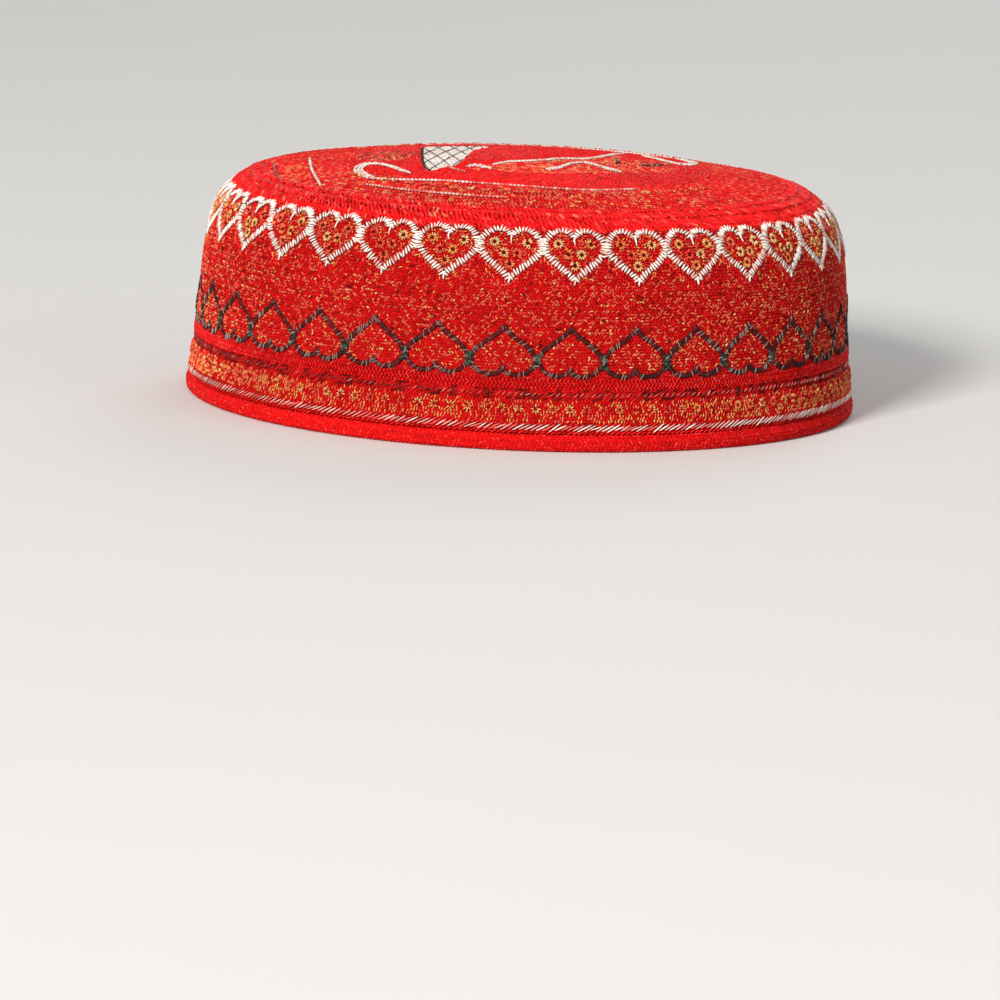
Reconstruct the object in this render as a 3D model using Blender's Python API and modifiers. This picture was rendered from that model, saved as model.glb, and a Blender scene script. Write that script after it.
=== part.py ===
"""Embroidered kufi cap: a stiff round side band, a gently domed crown, a corded welt
between them and a rolled hem round the open underside.

Metres, +Z up. The origin is the centre of the circle that the hem stands on.
"""

import math

import bpy
from mathutils import Vector

# Driving sizes of the whole cap
RIM_RADIUS = 0.0960      # outside of the side band at its foot
SEAM_RADIUS = 0.0840     # outside of the cap where band and crown meet
SEAM_HEIGHT = 0.0606     # height of that meeting line above the floor
SEAM_TILT = math.radians(36.0)   # slope of the cap's surface there, from level
CROWN_RISE = 0.0090      # height of the crown's middle above the meeting line

# Walls and trims
BAND_WALL = 0.0030
CROWN_WALL = 0.0030
EDGE_STRAIGHT = 0.0015   # straight stretch at each wall's edge beside the welt
WELT_THICKNESS = 0.0036  # diameter of the corded welt
WELT_PROUD = 0.0006      # how far the welt stands out of the cap's surface
HEM_HEIGHT = 0.0048
HEM_PROUD = 0.0007       # how far the hem stands out of the band, inside and outside
HEM_ROUNDING = 0.0016    # radius of the hem's four edges
GAP = 0.0003             # left between neighbouring pieces

# Embroidered rope rows that lie side by side on the crown, inside the welt
ROPE_ROW_WIDTH = 0.0037
ROPE_ROW_RELIEF = 0.0005
ROPE_ROW_COUNT = 2

# Facets
TURN_STEPS = 72
WELT_SIDES = 10
CORNER_STEPS = 3
LINE_STEPS = 2

# The band's outer line, from its foot up. height is a share of the way from the foot
# to the meeting line, inset a share of the way from the rim radius to the seam radius.
BAND_SECTIONS = (
    {"height": 0.00, "inset": 0.00},
    {"height": 0.05, "inset": 0.00},
    {"height": 0.20, "inset": 0.12},
    {"height": 0.49, "inset": 0.21},
    {"height": 0.67, "inset": 0.28},
    {"height": 0.81, "inset": 0.41},
    {"height": 0.92, "inset": 0.61},
)

# The crown's outer line, from its edge to its middle. radius is a share of the seam
# radius, rise a share of the crown's rise.
CROWN_SECTIONS = (
    {"radius": 0.93, "rise": 0.33},
    {"radius": 0.87, "rise": 0.46},
    {"radius": 0.72, "rise": 0.65},
    {"radius": 0.45, "rise": 0.87},
    {"radius": 0.00, "rise": 1.00},
)

# Colours as base colour in linear light, with roughness
MATERIALS = {
    "band_embroidery": {"colour": (0.56, 0.018, 0.014, 1.0), "roughness": 0.62},
    "crown_embroidery": {"colour": (0.62, 0.022, 0.020, 1.0), "roughness": 0.60},
    "welt_thread": {"colour": (0.66, 0.014, 0.016, 1.0), "roughness": 0.50},
    "hem_cloth": {"colour": (0.60, 0.008, 0.010, 1.0), "roughness": 0.66},
}


def clear_scene():
    """Remove whatever objects the scene holds."""
    for old in list(bpy.data.objects):
        bpy.data.objects.remove(old, do_unlink=True)


def make_collection(name):
    """Return a new collection in the scene."""
    collection = bpy.data.collections.new(name)
    bpy.context.scene.collection.children.link(collection)
    return collection


def make_material(name):
    """Return a Principled BSDF material with the colour and roughness in MATERIALS."""
    material = bpy.data.materials.new(name)
    material.use_nodes = True
    shader = material.node_tree.nodes["Principled BSDF"]
    shader.inputs["Base Color"].default_value = MATERIALS[name]["colour"]
    shader.inputs["Roughness"].default_value = MATERIALS[name]["roughness"]
    shader.inputs["Metallic"].default_value = 0.0
    material.diffuse_color = MATERIALS[name]["colour"]
    return material


def seam_point(along):
    """Return the point of the cap's outer line that lies this far up past the seam."""
    uphill = Vector((-math.cos(SEAM_TILT), 0.0, math.sin(SEAM_TILT)))
    return Vector((SEAM_RADIUS, 0.0, SEAM_HEIGHT)) + uphill * along


def seam_normal():
    """Return the outward direction of the cap's surface at the seam."""
    return Vector((math.sin(SEAM_TILT), 0.0, math.cos(SEAM_TILT)))


def smooth_line(points, steps):
    """Return a smooth line through the points, with this many steps between two.

    The slope at each inner point is that of the line joining its neighbours.
    """
    line = [points[0]]
    for i in range(len(points) - 1):
        start, end = points[i], points[i + 1]
        before = points[i - 1] if i > 0 else start
        after = points[i + 2] if i + 2 < len(points) else end
        leave = (end - before) * (0.5 if i > 0 else 1.0)
        arrive = (after - start) * (0.5 if i + 2 < len(points) else 1.0)
        for step in range(1, steps + 1):
            t = step / steps
            line.append(
                start * (2 * t**3 - 3 * t**2 + 1)
                + leave * (t**3 - 2 * t**2 + t)
                + end * (3 * t**2 - 2 * t**3)
                + arrive * (t**3 - t**2)
            )
    return line


def band_line():
    """Return the band's outer line from the seam down to its foot on the hem."""
    foot = HEM_HEIGHT + GAP
    points = []
    for row in BAND_SECTIONS:
        radius = RIM_RADIUS - row["inset"] * (RIM_RADIUS - SEAM_RADIUS)
        points.append(Vector((radius, 0.0, foot + row["height"] * (SEAM_HEIGHT - foot))))
    edge = -(WELT_THICKNESS / 2 + GAP)
    straight = [seam_point(edge - EDGE_STRAIGHT), seam_point(edge)]
    line = points[:1] + smooth_line(points[1:], LINE_STEPS) + straight
    line.reverse()
    return line


def crown_line():
    """Return the crown's outer line from its middle out to its edge, with rope rows."""
    edge = WELT_THICKNESS / 2 + GAP
    outline = [seam_point(edge + EDGE_STRAIGHT)]
    for row in CROWN_SECTIONS:
        height = SEAM_HEIGHT + row["rise"] * CROWN_RISE
        outline.append(Vector((row["radius"] * SEAM_RADIUS, 0.0, height)))
    plain = [seam_point(edge)] + smooth_line(outline, LINE_STEPS)

    line = plain[:1]
    for i in range(ROPE_ROW_COUNT):
        line.append(raised(plain, (i + 0.5) * ROPE_ROW_WIDTH, ROPE_ROW_RELIEF))
        line.append(raised(plain, (i + 1.0) * ROPE_ROW_WIDTH, 0.0))
    smooth_from = line[-1].x - ROPE_ROW_WIDTH
    line += [point for point in plain if point.x < smooth_from]
    line.reverse()
    return line


def raised(line, along, height):
    """Return the point this far along a line, lifted off it by a height."""
    left = along
    for start, end in zip(line, line[1:]):
        length = (end - start).length
        if left <= length:
            break
        left -= length
    direction = (end - start).normalized()
    outward = Vector((direction.z, 0.0, -direction.x))
    return start + direction * left + outward * height


def hem_section():
    """Return the hem's section as a loop: a rectangle with rounded corners."""
    inner = RIM_RADIUS - BAND_WALL - HEM_PROUD
    outer = RIM_RADIUS + HEM_PROUD
    corners = (
        {"radius": outer - HEM_ROUNDING, "height": HEM_HEIGHT - HEM_ROUNDING, "turn": 0.25},
        {"radius": outer - HEM_ROUNDING, "height": HEM_ROUNDING, "turn": 0.0},
        {"radius": inner + HEM_ROUNDING, "height": HEM_ROUNDING, "turn": -0.25},
        {"radius": inner + HEM_ROUNDING, "height": HEM_HEIGHT - HEM_ROUNDING, "turn": -0.5},
    )
    loop = []
    for corner in corners:
        for step in range(CORNER_STEPS + 1):
            angle = 2 * math.pi * (corner["turn"] - 0.25 * step / CORNER_STEPS)
            loop.append(Vector((
                corner["radius"] + HEM_ROUNDING * math.cos(angle),
                0.0,
                corner["height"] + HEM_ROUNDING * math.sin(angle),
            )))
    return loop


def turned(name, line, closed, collection, material):
    """Return an object that turns a line, or a closed loop, once round the Z axis."""
    edges = [(i, i + 1) for i in range(len(line) - 1)]
    if closed:
        edges.append((len(line) - 1, 0))
    mesh = bpy.data.meshes.new(name)
    mesh.from_pydata([tuple(point) for point in line], edges, [])
    mesh.materials.append(material)
    piece = bpy.data.objects.new(name, mesh)
    collection.objects.link(piece)
    screw = piece.modifiers.new("turn", "SCREW")
    screw.axis = "Z"
    screw.angle = 2 * math.pi
    screw.steps = TURN_STEPS
    screw.render_steps = TURN_STEPS
    screw.use_merge_vertices = True
    screw.merge_threshold = 0.00001
    screw.use_smooth_shade = True
    return piece


def give_wall(piece, thickness):
    """Turn an open surface into a wall that grows inwards."""
    solidify = piece.modifiers.new("wall", "SOLIDIFY")
    solidify.thickness = thickness
    solidify.offset = -1.0
    solidify.use_even_offset = True
    solidify.use_rim = True


def make_side_band(collection):
    """Make the upright band with its rounded shoulder."""
    material = make_material("band_embroidery")
    band = turned("side_band", band_line(), False, collection, material)
    give_wall(band, BAND_WALL)
    return band


def make_crown(collection):
    """Make the domed top with its rope rows."""
    material = make_material("crown_embroidery")
    crown = turned("crown_top", crown_line(), False, collection, material)
    give_wall(crown, CROWN_WALL)
    return crown


def make_rim_hem(collection):
    """Make the rolled hem that the cap stands on."""
    material = make_material("hem_cloth")
    return turned("rim_hem", hem_section(), True, collection, material)


def make_crown_welt(collection):
    """Make the corded welt, seated between the band's top edge and the crown's edge."""
    centre = seam_point(0.0) - seam_normal() * (WELT_THICKNESS / 2 - WELT_PROUD)
    bpy.ops.mesh.primitive_torus_add(
        location=(0.0, 0.0, centre.z),
        major_radius=centre.x,
        minor_radius=WELT_THICKNESS / 2,
        major_segments=TURN_STEPS,
        minor_segments=WELT_SIDES,
    )
    welt = bpy.context.object
    welt.name = "crown_welt"
    welt.data.name = "crown_welt"
    for holder in list(welt.users_collection):
        holder.objects.unlink(welt)
    collection.objects.link(welt)
    welt.data.materials.append(make_material("welt_thread"))
    welt.data.shade_smooth()
    return welt


def main():
    clear_scene()
    collection = make_collection("kufi_cap")
    make_rim_hem(collection)
    make_side_band(collection)
    make_crown_welt(collection)
    make_crown(collection)


main()
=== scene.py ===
"""Embroidery of a kufi cap, sewn over its fixed frame, with a plain studio round it."""

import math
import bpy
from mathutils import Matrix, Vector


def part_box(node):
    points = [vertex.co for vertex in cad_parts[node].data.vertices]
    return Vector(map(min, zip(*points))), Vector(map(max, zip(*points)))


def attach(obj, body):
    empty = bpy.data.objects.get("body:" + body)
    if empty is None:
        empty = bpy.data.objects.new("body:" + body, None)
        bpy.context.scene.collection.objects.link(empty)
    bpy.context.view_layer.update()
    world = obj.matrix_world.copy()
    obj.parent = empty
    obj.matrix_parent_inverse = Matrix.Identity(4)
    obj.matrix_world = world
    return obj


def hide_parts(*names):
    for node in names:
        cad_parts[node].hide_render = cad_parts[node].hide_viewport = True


bl_info = {
    "name": "Embroidered Kufi Cap",
    "version": (1, 0, 0),
    "blender": (4, 5, 0),
    "location": "View3D > Sidebar > Kufi Cap",
    "description": "Sews the embroidery of a kufi cap over its fixed frame",
    "category": "Object",
}

import bpy
import numpy as np
from bpy.props import FloatProperty, FloatVectorProperty, IntProperty, PointerProperty
from mathutils import Matrix, Vector
from mathutils.bvhtree import BVHTree

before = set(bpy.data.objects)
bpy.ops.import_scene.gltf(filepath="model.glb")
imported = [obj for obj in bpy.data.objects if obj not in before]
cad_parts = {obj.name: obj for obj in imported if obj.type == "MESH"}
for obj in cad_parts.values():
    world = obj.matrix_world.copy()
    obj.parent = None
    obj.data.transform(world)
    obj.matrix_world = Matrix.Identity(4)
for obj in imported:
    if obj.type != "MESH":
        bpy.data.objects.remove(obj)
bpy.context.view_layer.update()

BODY = "root"
TAU = 2 * math.pi

# Sizes read from the frame, in metres
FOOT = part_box("side_band")[0].z
RIM_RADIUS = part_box("side_band")[1].x
BAND_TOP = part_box("side_band")[1].z
CROWN_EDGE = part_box("crown_top")[1].x
WELT_LOW, WELT_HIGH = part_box("crown_welt")
WELT_HEIGHT = (WELT_LOW.z + WELT_HIGH.z) / 2
WELT_HALF = (WELT_HIGH.z - WELT_LOW.z) / 2
WELT_RADIUS = WELT_HIGH.x - WELT_HALF

# Places along each thread ramp, which a stitch's tint picks
TINTS = {
    "shadow": 0.0, "deep": 0.17, "red": 0.34, "rose": 0.50, "salmon": 0.67, "gold": 0.84,
    "cream": 1.0,
    "shade": 0.0, "pink": 0.4, "blush": 0.7, "white": 1.0,
    "inky": 0.0, "maroon": 0.33, "grey": 0.66, "teal": 1.0,
}
TINT_WANDER = 0.03


# Settings


def colour(name, description, value):
    """Return a colour property, in linear light."""
    return FloatVectorProperty(
        name=name, description=description, subtype="COLOR", size=4,
        min=0.0, max=1.0, default=(*value, 1.0),
    )


def length(name, description, value):
    """Return a length property, in metres."""
    return FloatProperty(
        name=name, description=description, unit="LENGTH", precision=4,
        min=0.0, default=value,
    )


def turning(name, description, degrees):
    """Return an angle property, from degrees."""
    return FloatProperty(
        name=name, description=description, subtype="ANGLE", default=math.radians(degrees),
    )


def power(name, description, watts):
    """Return a property for the power of a light."""
    return FloatProperty(name=name, description=description, unit="POWER", default=watts)


class KufiThreads(bpy.types.PropertyGroup):
    """Colours of the cap's threads and cloth."""

    shadow: colour("Shadow", "Darkest red, in the middle of an eyelet", (0.10, 0.003, 0.002))
    deep: colour("Deep red", "Red of threads that lie low", (0.62, 0.002, 0.002))
    red: colour("Red", "Main red thread", (0.88, 0.006, 0.005))
    # Rose stitches, scattered among the red ones, are painted sheen: pinkish highlights of the red
    # thread.
    rose: colour("Rose", "Pinkish sheen of the red thread", (0.92, 0.028, 0.032))
    salmon: colour("Salmon", "Pale red flecks", (0.92, 0.150, 0.085))
    gold: colour("Gold", "Gold flecks and eyelets", (0.92, 0.37, 0.080))
    cream: colour("Cream", "Lightest flecks and eyelets", (0.95, 0.66, 0.30))
    shade: colour("Shade", "Dark thread between the pale bars", (0.34, 0.045, 0.04))
    # Pink is partly pink thread and partly painted shade on the pale thread.
    pink: colour("Pink", "Shaded side of the pale thread", (0.84, 0.17, 0.14))
    blush: colour("Blush", "Pinkish pale thread", (0.88, 0.50, 0.42))
    white: colour("White", "Pale thread of the hearts and scrolls", (0.95, 0.88, 0.80))
    inky: colour("Green black", "Darkest thread of the inverted hearts", (0.018, 0.024, 0.018))
    maroon: colour("Maroon", "Dark red thread of the inverted hearts", (0.13, 0.006, 0.010))
    grey: colour("Grey", "Pale flecks in the dark thread", (0.42, 0.30, 0.26))
    teal: colour("Teal", "Knots between the inverted hearts", (0.006, 0.11, 0.07))
    ground: colour("Ground", "Cloth under the stitches", (0.50, 0.002, 0.002))
    lining: colour("Lining", "Inside of the cap", (0.36, 0.008, 0.007))


class KufiPattern(bpy.types.PropertyGroup):
    """Sizes of the cap's pattern."""

    hearts: IntProperty(
        name="Hearts", description="Hearts round the cap in each row", min=3, default=32
    )
    pale_turn: turning("Pale hearts' turn", "Turn of the first white heart's tip", -2.5)
    dark_turn: turning("Dark hearts' turn", "Turn of the first dark heart's tip", -2.9)
    pale_tip: length("Pale tip", "Height of the white hearts' tips", 0.777 * WELT_HEIGHT)
    pale_top: length("Pale top", "Height of the white hearts' lobes", 0.997 * WELT_HEIGHT)
    dark_tip: length("Dark tip", "Height of the dark hearts' tips", 0.572 * WELT_HEIGHT)
    dark_foot: length("Dark foot", "Height of the dark hearts' lobes", 0.347 * WELT_HEIGHT)
    stitch: length("Stitch", "Length of a field stitch", 0.00138)
    thread: length("Thread", "Width of a field stitch", 0.00050)
    row: length("Row", "Distance between field rows", 0.00084)
    pitch: length("Pitch", "Distance between stitches of a field row", 0.00078)
    outline: length("Outline", "Width of the white outlines", 0.0024)
    border: length("Border", "Width of the red border under the white hearts", 0.0020)
    eyelet: length("Eyelet", "Radius of an eyelet ring, at the middle of its stitches", 0.00102)


class KufiStage(bpy.types.PropertyGroup):
    """The camera, the floor and the lights."""

    distance: length("Distance", "Camera's distance from the cap", 1.5)
    elevation: turning("Elevation", "Camera's angle above the rim's plane", 7.87)
    roll: turning("Roll", "Turn of the picture, clockwise", 2.37)
    lens: FloatProperty(name="Lens", description="Focal length in millimetres", default=185.9)
    floor: colour("Floor", "Colour of the floor", (0.68, 0.67, 0.655))
    key: power("Key light", "Power of the key light", 224.0)
    fill: power("Fill light", "Power of the fill light", 15.0)
    sky: FloatProperty(name="Sky", description="Strength of the light from all round", default=0.30)


# Node trees


class Value:
    """A socket of a node tree that Python's operators work on."""

    def __init__(self, nodes, socket):
        self.nodes = nodes
        self.socket = socket

    def maths(self, operation, *others):
        operands = dict(enumerate((self, *others)))
        return self.nodes.add("ShaderNodeMath", operands, operation=operation)

    def other(self, output):
        """Return another output of the same node."""
        return Value(self.nodes, self.socket.node.outputs[output])

    def __add__(self, value):
        return self.maths("ADD", value)

    def __sub__(self, value):
        return self.maths("SUBTRACT", value)

    def __mul__(self, value):
        return self.maths("MULTIPLY", value)

    def __truediv__(self, value):
        return self.maths("DIVIDE", value)

    def __pow__(self, value):
        return self.maths("POWER", value)

    def __abs__(self):
        return self.maths("ABSOLUTE")

    def __neg__(self):
        return self * -1.0

    def __rsub__(self, value):
        return -self + value

    def sine(self):
        return self.maths("SINE")

    def cosine(self):
        return self.maths("COSINE")

    def floor(self):
        return self.maths("FLOOR")

    __radd__ = __add__
    __rmul__ = __mul__


class Nodes:
    """A node tree, built one node at a time."""

    def __init__(self, tree):
        self.tree = tree

    def add(self, kind, inputs=None, output=0, stops=None, **settings):
        """Add a node with its settings, ramp stops and inputs, and return one output."""
        node = self.tree.nodes.new(kind)
        for name, setting in settings.items():
            setattr(node, name, setting)
        if stops:
            ramp = node.color_ramp.elements
            while len(ramp) < len(stops):
                ramp.new(1.0)
            for element, (position, tone) in zip(ramp, stops):
                element.position = position
                element.color = tone
        for key, value in (inputs or {}).items():
            self.feed(self.pick(node.inputs, key), value)
        return Value(self, self.pick(node.outputs, output))

    @staticmethod
    def pick(sockets, key):
        """Return the socket in use that has this name or number."""
        if isinstance(key, int):
            return sockets[key]
        return next(socket for socket in sockets if socket.name == key and socket.enabled)

    def feed(self, socket, value):
        if isinstance(value, Value):
            self.tree.links.new(value.socket, socket)
        else:
            socket.default_value = value

    def blend(self, share, first, second, kind="MIX"):
        """Return two colours mixed by a share from 0 to 1."""
        inputs = {0: share, 6: first, 7: second}
        return self.add("ShaderNodeMix", inputs, 2, data_type="RGBA", blend_type=kind)


class Group(Nodes):
    """A Geometry Nodes group with named inputs and one geometry output."""

    def __init__(self, name, inputs):
        super().__init__(bpy.data.node_groups.new(name, "GeometryNodeTree"))
        for socket, kind in inputs.items():
            self.tree.interface.new_socket(socket, in_out="INPUT", socket_type=kind)
        self.tree.interface.new_socket(
            "Geometry", in_out="OUTPUT", socket_type="NodeSocketGeometry"
        )
        self.given = self.tree.nodes.new("NodeGroupInput")

    def get(self, name):
        return Value(self, self.given.outputs[name])

    def attribute(self, name, kind="FLOAT_VECTOR"):
        return self.add(
            "GeometryNodeInputNamedAttribute", {"Name": name}, "Attribute", data_type=kind
        )

    def keep(self, geometry, name, value, kind="FLOAT_VECTOR", domain="POINT"):
        """Store a value on the geometry under a name."""
        inputs = {"Geometry": geometry, "Name": name, "Value": value}
        return self.add(
            "GeometryNodeStoreNamedAttribute", inputs, data_type=kind, domain=domain
        )

    def end(self, geometry):
        """Close the tree: real geometry, shaded smooth, in the given material."""
        geometry = self.add("GeometryNodeRealizeInstances", {"Geometry": geometry})
        geometry = self.add("GeometryNodeSetShadeSmooth", {"Geometry": geometry})
        inputs = {"Geometry": geometry, "Material": self.get("Material")}
        geometry = self.add("GeometryNodeSetMaterial", inputs)
        output = self.tree.nodes.new("NodeGroupOutput")
        self.feed(output.inputs["Geometry"], geometry)
        return self.tree


def stitch_tree():
    """Return the tree that lays a stitch at each point of a guide mesh."""
    group = Group("kufi_stitches", {
        "Guide": "NodeSocketGeometry",
        "Sides": "NodeSocketInt",
        "Rings": "NodeSocketInt",
        "Lean": "NodeSocketFloat",
        "Spread": "NodeSocketFloat",
        "Seed": "NodeSocketInt",
        "Material": "NodeSocketMaterial",
    })
    lean, spread, seed = group.get("Lean"), group.get("Spread"), group.get("Seed")
    grain = group.add("GeometryNodeMeshUVSphere", {
        "Segments": group.get("Sides"), "Rings": group.get("Rings"), "Radius": 1.0,
    }, "Mesh")
    grain = group.keep(grain, "lay", group.add("GeometryNodeInputPosition"))
    pointing = group.add("FunctionNodeAxesToRotation", {
        "Primary Axis": group.attribute("along"), "Secondary Axis": group.attribute("out"),
    }, primary_axis="Z", secondary_axis="X")
    random_turn = group.add("FunctionNodeRandomValue", {
        "Min": (-1.0, -1.0, -1.0), "Max": (1.0, 1.0, 1.0), "Seed": seed,
    }, "Value", data_type="FLOAT_VECTOR")
    wobble = group.add(
        "ShaderNodeVectorMath", {0: random_turn, "Scale": lean}, operation="SCALE"
    )
    wobble = group.add("FunctionNodeEulerToRotation", {"Euler": wobble})
    pointing = group.add("FunctionNodeRotateRotation", {
        "Rotation": pointing, "Rotate By": wobble,
    }, rotation_space="LOCAL")
    random_size = group.add("FunctionNodeRandomValue", {
        "Min": 1.0 - spread, "Max": 1.0 + spread, "Seed": seed,
    }, "Value", data_type="FLOAT")
    size = group.add("ShaderNodeVectorMath", {
        0: group.attribute("size"), "Scale": random_size,
    }, operation="SCALE")
    sewn = group.add("GeometryNodeInstanceOnPoints", {
        "Points": group.get("Guide"), "Instance": grain, "Rotation": pointing, "Scale": size,
    })
    for spent in ("along", "out", "size"):
        sewn = group.add("GeometryNodeRemoveAttribute", {"Geometry": sewn, "Name": spent})
    return group.end(sewn)


def turned_tree():
    """Return the tree that turns a closed outline, given as a line of points, round Z."""
    group = Group("kufi_turned_cloth", {
        "Outline": "NodeSocketGeometry",
        "Steps": "NodeSocketInt",
        "Material": "NodeSocketMaterial",
    })
    outline, steps = group.get("Outline"), group.get("Steps")
    rows = steps + 1
    count = group.add(
        "GeometryNodeAttributeDomainSize", {"Geometry": outline}, "Point Count", component="MESH"
    )
    cloth = group.add("GeometryNodeMeshGrid", {
        "Size X": 1.0, "Size Y": 1.0, "Vertices X": count, "Vertices Y": rows,
    }, "Mesh")
    spread = cloth.other("UV Map")
    index = group.add("GeometryNodeInputIndex")
    number = (index / rows).floor()
    angle = (index - number * rows) / steps * TAU
    point = sample(group, outline, group.add("GeometryNodeInputPosition"), number, "FLOAT_VECTOR")
    parts = group.add("ShaderNodeSeparateXYZ", {"Vector": point}, "X")
    place = group.add("ShaderNodeCombineXYZ", {
        "X": parts * angle.sine(), "Y": -parts * angle.cosine(), "Z": parts.other("Z"),
    })
    inside = sample(group, outline, group.attribute("inside", "FLOAT"), number, "FLOAT")
    cloth = group.keep(cloth, "cloth", spread, "FLOAT2", "CORNER")
    cloth = group.keep(cloth, "inside", inside, "FLOAT")
    cloth = group.add("GeometryNodeSetPosition", {"Geometry": cloth, "Position": place})
    cloth = group.add("GeometryNodeMergeByDistance", {"Geometry": cloth, "Distance": 0.000002})
    return group.end(cloth)


def sample(group, geometry, value, index, kind):
    """Return a point's value, read from a geometry by the point's number."""
    inputs = {"Geometry": geometry, "Value": value, "Index": index}
    return group.add("GeometryNodeSampleIndex", inputs, data_type=kind, domain="POINT")


TREES = {"stitches": stitch_tree, "turned": turned_tree}
READY_TREES = {}


def grow(name, start, tree, **inputs):
    """Return a plain mesh piece that a Geometry Nodes tree makes from a starting mesh."""
    if tree not in READY_TREES:
        READY_TREES[tree] = TREES[tree]()
    group = READY_TREES[tree]
    piece = bpy.data.objects.new(name, start)
    bpy.context.scene.collection.objects.link(piece)
    modifier = piece.modifiers.new(tree, "NODES")
    modifier.node_group = group
    for item in group.interface.items_tree:
        if item.in_out == "INPUT" and item.name in inputs:
            modifier[item.identifier] = inputs[item.name]
    graph = bpy.context.evaluated_depsgraph_get()
    made = bpy.data.meshes.new_from_object(piece.evaluated_get(graph))
    if not made.polygons:
        raise RuntimeError(f"{name} came out empty")
    piece.modifiers.remove(modifier)
    piece.data = made
    made.name = name
    bpy.data.meshes.remove(start)
    return piece


def fasten(piece, slot, *nodes):
    """Fix a finished piece to the cap's body and hide the nodes it stands for. The slot is not used.
    """
    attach(piece, BODY)
    if nodes:
        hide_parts(*nodes)


# Materials

# The darkest value of each thread is how dark its painted shade gets at a stitch's underside and
# ends.
THREADS = {
    "warm_thread": {
        "tints": ("shadow", "deep", "red", "rose", "salmon", "gold", "cream"),
        "shine": 0.46, "darkest_painted_shade": 0.65,
    },
    "pale_thread": {
        "tints": ("shade", "pink", "blush", "white"), "shine": 0.42, "darkest_painted_shade": 0.62,
    },
    "dark_thread": {
        "tints": ("inky", "maroon", "grey", "teal"), "shine": 0.50, "darkest_painted_shade": 0.60,
    },
}

# Each cloth's colour outside and inside, and its threads round the cap and across it
CLOTHS = {
    "band_ground": {"tone": "ground", "inner": "lining", "around": 700.0, "across": 150.0},
    "crown_ground": {"tone": "ground", "inner": "lining", "around": 420.0, "across": 200.0},
    "hem_cloth": {"tone": "deep", "inner": "deep", "around": 560.0, "across": 20.0},
    "welt_core": {"tone": "deep", "inner": "deep", "around": 500.0, "across": 12.0},
}
READY_FINISHES = {}


class Finish(Nodes):
    """The node tree of a new material."""

    def __init__(self, name, gloss):
        self.material = bpy.data.materials.new(name)
        self.material.use_nodes = True
        super().__init__(self.material.node_tree)
        self.shader = self.tree.nodes["Principled BSDF"]
        self.shader.inputs["Specular IOR Level"].default_value = gloss
        self.place = self.add("ShaderNodeTexCoord", output="Object")

    def noise(self, scale, detail):
        inputs = {"Vector": self.place, "Scale": scale, "Detail": detail}
        return self.add("ShaderNodeTexNoise", inputs, "Fac")

    def read(self, name, output="Fac"):
        """Return an attribute of the piece's mesh."""
        return self.add("ShaderNodeAttribute", output=output, attribute_name=name)

    def end(self, base, light, bump, depth, roughness):
        """Join lit colour, relief and roughness to the shader and return the material."""
        shade = self.add(
            "ShaderNodeCombineColor", {"Red": light, "Green": light, "Blue": light}
        )
        inputs = {"Height": bump, "Strength": 1.0, "Distance": depth}
        for socket, value in {
            "Base Color": self.blend(1.0, base, shade, "MULTIPLY"),
            "Normal": self.add("ShaderNodeBump", inputs, "Normal"),
            "Roughness": roughness,
        }.items():
            self.feed(self.shader.inputs[socket], value)
        return self.material


def thread_material(name, tints, shine, darkest_painted_shade):
    """Return a thread's finish: its ramp of colours, twisted strands and painted shade at each
    stitch's underside, ends and strand grooves.
    """
    tones = bpy.context.scene.kufi_threads
    nodes = Finish(name, gloss=0.16)
    out = nodes.add("ShaderNodeSeparateXYZ", {"Vector": nodes.read("lay", "Vector")}, "X")
    side, along = out.other("Y"), out.other("Z")
    patch, fibre = nodes.noise(60.0, 2.0), nodes.noise(2600.0, 1.0)
    stops = [(TINTS[tint], getattr(tones, tint)) for tint in tints]
    base = nodes.add("ShaderNodeValToRGB", {"Fac": nodes.read("tint")}, "Color", stops=stops)
    strands = abs((along * 8.0 + side * 3.0).sine())
    # Painted shade: each stitch is darker on its underside and towards its ends, where it dives into
    # the cloth.
    root = (0.5 - out * 0.5) * 0.75 + abs(along) ** 4 * 0.45
    light = (1.0 - root * (1.0 - darkest_painted_shade)) * (0.86 + patch * 0.28)
    # Painted shade in the grooves between the strands, with random tone from the fibre noise.
    light = light * (0.80 + strands * 0.14 + fibre * 0.12)
    return nodes.end(base, light, strands + fibre * 0.6, 0.00006, shine + fibre * 0.18)


def cloth_material(name, tone, inner, around, across):
    """Return a woven ground cloth's finish, with a plainer lining on its inner face."""
    tones = bpy.context.scene.kufi_threads
    nodes = Finish(name, gloss=0.1)
    run = nodes.add("ShaderNodeSeparateXYZ", {"Vector": nodes.read("cloth", "Vector")}, "X")
    turn = run.other("Y")
    patch, grit = nodes.noise(45.0, 4.0), nodes.noise(900.0, 2.0)
    step = (run * across).floor() * (math.pi / 2)
    warp = abs((turn * (around * math.pi) + step).sine())
    weft = abs((run * (across * math.pi)).sine())
    weave = warp * weft
    base = nodes.blend(nodes.read("inside"), getattr(tones, tone), getattr(tones, inner))
    # Painted shade in the gaps of the weave, with random tone from patch and grit.
    light = 0.50 + weave * 0.45 + patch * 0.22 + grit * 0.12
    return nodes.end(base, light, weave + grit * 0.5, 0.00012, 0.72 + grit * 0.2)


def floor_material(tone):
    """Return the floor's finish: pale, matt and very slightly uneven."""
    nodes = Finish("floor", gloss=0.2)
    patch = nodes.noise(6.0, 3.0)
    return nodes.end(tone, 0.985 + patch * 0.03, patch, 0.0001, 0.75 + patch * 0.1)


def finish(name):
    """Return a thread's or a cloth's material, made once."""
    if name not in READY_FINISHES:
        if name in THREADS:
            READY_FINISHES[name] = thread_material(name, **THREADS[name])
        else:
            READY_FINISHES[name] = cloth_material(name, **CLOTHS[name])
    return READY_FINISHES[name]


# The cap's skin, read from the frame

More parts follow.
